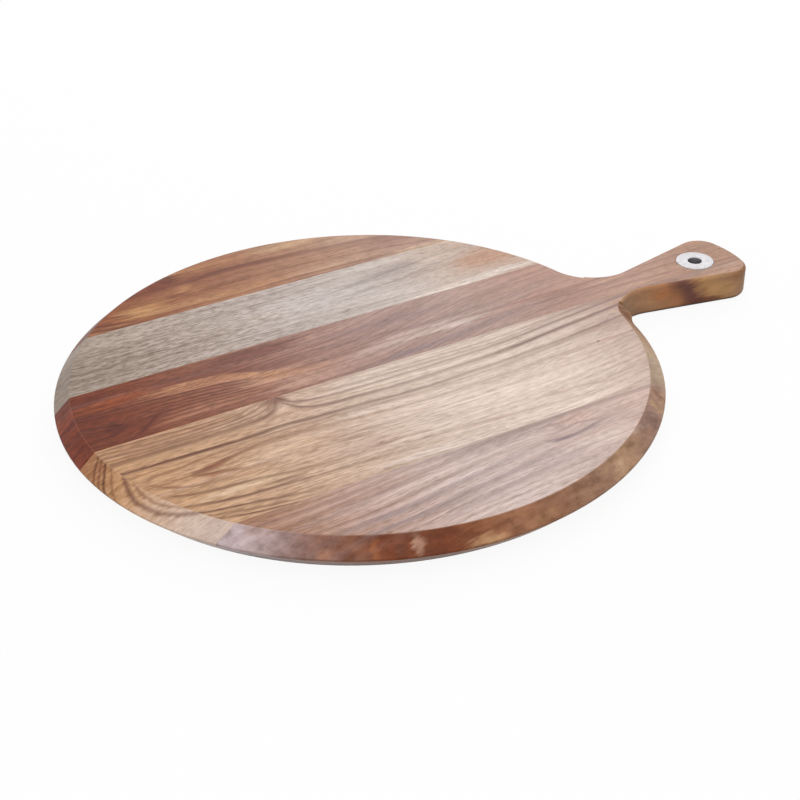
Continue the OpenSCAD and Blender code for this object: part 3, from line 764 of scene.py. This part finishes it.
eyeletLook = {
    "centre": (0.253, 0.0), "holeRadius": 0.0045, "barrelRadius": 0.006, "flangeRadius": 0.0125,
    "flangeThick": 0.0015, "ease": 0.0005, "easeSteps": 4, "steps": 96, "crispFrom": 40,  # metres, degrees
    "metal": [(0.3, tint(152, 150, 152)), (0.7, tint(166, 164, 166))],
    "cloud": (3, 3, 3), "cloudHeight": 0.4, "turnScale": 9.0, "roughness": 0.5, "roughTurning": 0.1,
    "bump": 0.12, "bumpDistance": 0.0001,
}


def metalMaterial():
    # clouded metal with fine turning marks round the hole
    material, coords = startMaterial("satin metal")
    cx, cy = eyeletLook["centre"]
    place = coords.placed((cx, cy, 0), (0.001, 0.001, 0.001))  # in mm from the hole
    x, y, z = place.parts()
    reach = (x * x + y * y) ** 0.5
    turning = reach.node("ShaderNodeTexNoise", {"noise_dimensions": "1D"},
                         {"W": reach, "Scale": eyeletLook["turnScale"], "Detail": 2.0})
    cloud = place.noise(eyeletLook["cloud"], 2, 2.0)
    colour = cloud.ramp(eyeletLook["metal"])
    height = turning + cloud * eyeletLook["cloudHeight"]
    relief = height.node("ShaderNodeBump", None, {
        "Height": height, "Strength": eyeletLook["bump"], "Distance": eyeletLook["bumpDistance"]})
    roughness = eyeletLook["roughness"] + turning * eyeletLook["roughTurning"]
    shader = colour.node("ShaderNodeBsdfPrincipled", None, {
        "Base Color": colour, "Roughness": roughness, "Metallic": 1.0, "Normal": relief})
    return endMaterial(material, shader)


def eyeletTree():
    tree = bpy.data.node_groups.new("eyelet", "GeometryNodeTree")
    for name, kind in [("Hole Radius", "NodeSocketFloat"), ("Barrel Radius", "NodeSocketFloat"),
                       ("Flange Radius", "NodeSocketFloat"), ("Flange Thick", "NodeSocketFloat"),
                       ("Face Height", "NodeSocketFloat"), ("Barrel End", "NodeSocketFloat"),
                       ("Ease", "NodeSocketFloat"), ("Ease Steps", "NodeSocketInt"), ("Steps", "NodeSocketInt"),
                       ("Centre", "NodeSocketVector"), ("Metal", "NodeSocketMaterial")]:
        tree.interface.new_socket(name, in_out="INPUT", socket_type=kind)
    tree.interface.new_socket("Geometry", in_out="OUTPUT", socket_type="NodeSocketGeometry")
    start = Wire(tree, tree.nodes.new("NodeGroupInput").outputs[0])
    given = {socket.name: Wire(tree, socket) for socket in start.socket.node.outputs if socket.name}

    # the half section, from the bore out over the flange and back along the barrel; the sweep turns y down
    hole, barrel, flange = [given[name] for name in ("Hole Radius", "Barrel Radius", "Flange Radius")]
    face, end = given["Face Height"], given["Barrel End"]
    back = face + start.math("SIGN", end - face) * given["Flange Thick"]
    corners = [(hole, face), (flange, face), (flange, back), (barrel, back), (barrel, end), (hole, end)]
    spots = {number + 1: start.point(reach - hole, height * -1.0, 0.0)
             for number, (reach, height) in enumerate(corners)}
    spots[0] = start.node("GeometryNodeInputIndex")
    outline = start.node("GeometryNodeIndexSwitch", {"data_type": "VECTOR", "items": len(corners)}, spots)
    loop = start.node("GeometryNodeCurvePrimitiveCircle", None, {"Resolution": len(corners)})
    section = start.node("GeometryNodeSetPosition", None, {"Geometry": loop, "Position": outline})
    eased = start.node("GeometryNodeFilletCurve", {"mode": "POLY"}, {
        "Curve": section, "Count": given["Ease Steps"], "Radius": given["Ease"], "Limit Radius": True})
    path = start.node("GeometryNodeCurvePrimitiveCircle", None, {"Resolution": given["Steps"], "Radius": hole})
    ring = start.node("GeometryNodeCurveToMesh", None, {"Curve": path, "Profile Curve": eased})
    seated = start.node("GeometryNodeTransform", None, {"Geometry": ring, "Translation": given["Centre"]})
    real = start.node("GeometryNodeRealizeInstances", None, {"Geometry": seated})
    last = start.node("GeometryNodeSetMaterial", None, {"Geometry": real, "Material": given["Metal"]})
    output = tree.nodes.new("NodeGroupOutput")
    tree.links.new(last.socket, output.inputs["Geometry"])
    return tree


metal = metalMaterial()
eyeletNodes = eyeletTree()
for nodeName, pieceName in [("eyelet_top", "upper_eyelet"), ("eyelet_bottom", "lower_eyelet")]:
    low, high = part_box(nodeName)
    upper = nodeName == "eyelet_top"
    piece = bpy.data.objects.new(pieceName, bpy.data.meshes.new(pieceName))
    scene.collection.objects.link(piece)
    modifier = piece.modifiers.new("eyelet", "NODES")
    modifier.node_group = eyeletNodes
    values = {
        "Hole Radius": eyeletLook["holeRadius"], "Barrel Radius": eyeletLook["barrelRadius"],
        "Flange Radius": eyeletLook["flangeRadius"], "Flange Thick": eyeletLook["flangeThick"],
        "Face Height": high.z if upper else low.z, "Barrel End": low.z if upper else high.z,
        "Ease": eyeletLook["ease"], "Ease Steps": eyeletLook["easeSteps"], "Steps": eyeletLook["steps"],
        "Centre": (*eyeletLook["centre"], 0.0), "Metal": metal,
    }
    for socket in eyeletNodes.interface.items_tree:
        if socket.in_out == "INPUT":
            modifier[socket.identifier] = values[socket.name]
    done = settle(piece)
    bm = bmesh.new()
    bm.from_mesh(done)
    bmesh.ops.recalc_face_normals(bm, faces=bm.faces)
    bm.to_mesh(done)
    bm.free()
    for polygon in done.polygons:
        polygon.use_smooth = True
    done.set_sharp_from_angle(angle=math.radians(eyeletLook["crispFrom"]))
    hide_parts(nodeName)
    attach(piece, "root")
    print("eyelet", pieceName, len(done.polygons), "faces", [round(v * 1000, 2) for v in piece.dimensions])


# floor and light

stageLook = {
    "floorSize": 6.0, "floorHeight": -0.0002, "floorWhite": 0.92, "floorMatt": (0.9, 0.9, 0.9, 1),
    "floorBounce": (0.4, 0.4, 0.4, 1), "nearRay": 0.001, "domeLow": 0.3, "domeHigh": 0.8, "aim": (0.05, 0, 0),
    "lamps": {
        "key": {"place": (1.1, 1.05, 0.95), "size": (1.1, 0.9), "power": 12.0},
        "fill": {"place": (-0.9, -1.2, 1.1), "size": (1.4, 1.0), "power": 9.0},
    },
}


def shownRays(rays):
    # 1 for rays that show the background: straight to the camera, in a gloss or through a gap
    mirrored = rays.math("MAXIMUM", rays.also("Is Camera Ray"), rays.also("Is Glossy Ray"))
    return rays.math("MAXIMUM", mirrored, rays.also("Is Transmission Ray"))


def floorMaterial():
    # white to the camera, with a share of real shading so that the shadow stays; clear from below and to rays
    # that start just above it, under the board
    material, coords = startMaterial("floor")
    rays = coords.node("ShaderNodeLightPath")
    matt = coords.node("ShaderNodeBsdfDiffuse", None, {"Color": stageLook["floorMatt"]})
    dull = coords.node("ShaderNodeBsdfDiffuse", None, {"Color": stageLook["floorBounce"]})
    white = coords.node("ShaderNodeEmission", None, {"Color": (1, 1, 1, 1), "Strength": 1.0})
    shown = coords.node("ShaderNodeMixShader", None, {0: stageLook["floorWhite"], 1: matt, 2: white})
    both = coords.node("ShaderNodeMixShader", None, {0: shownRays(rays), 1: dull, 2: shown})
    behind = coords.node("ShaderNodeNewGeometry").also("Backfacing")
    gone = coords.math("MAXIMUM", behind, rays.math("LESS_THAN", rays.also("Ray Length"), stageLook["nearRay"]))
    clear = coords.node("ShaderNodeBsdfTransparent")
    return endMaterial(material, coords.node("ShaderNodeMixShader", None, {0: gone, 1: both, 2: clear}))


def makeFloor():
    half = stageLook["floorSize"] / 2
    mesh = bpy.data.meshes.new("floor")
    corners = [(-half, -half), (half, -half), (half, half), (-half, half)]
    mesh.from_pydata([(x, y, stageLook["floorHeight"]) for x, y in corners], [], [(0, 1, 2, 3)])
    floor = bpy.data.objects.new("floor", mesh)
    scene.collection.objects.link(floor)
    mesh.materials.append(floorMaterial())


def makeWorld():
    # a dome that is brighter overhead, and plain white where it is seen or mirrored
    world = bpy.data.worlds.new("studio")
    scene.world = world
    world.use_nodes = True
    tree = world.node_tree
    tree.nodes.clear()
    way = Wire(tree, tree.nodes.new("ShaderNodeTexCoord").outputs["Generated"])
    seen = shownRays(way.node("ShaderNodeLightPath"))
    up = way.math("MAXIMUM", way.parts()[2], 0.0)
    dome = up * up * stageLook["domeHigh"] + stageLook["domeLow"]
    strength = seen + (1 - seen) * dome
    sky = way.node("ShaderNodeBackground", None, {"Color": (1, 1, 1, 1), "Strength": strength})
    output = tree.nodes.new("ShaderNodeOutputWorld")
    tree.links.new(sky.socket, output.inputs["Surface"])


def makeLamp(name, lamp):
    data = bpy.data.lights.new(name, "AREA")
    data.shape = "RECTANGLE"
    data.size, data.size_y = lamp["size"]
    data.energy = lamp["power"]
    light = bpy.data.objects.new(name, data)
    light.location = lamp["place"]
    light.rotation_euler = (Vector(stageLook["aim"]) - light.location).to_track_quat("-Z", "Y").to_euler()
    scene.collection.objects.link(light)


makeFloor()
makeWorld()
for name, lamp in stageLook["lamps"].items():
    makeLamp(name, lamp)
print("floor and light set")
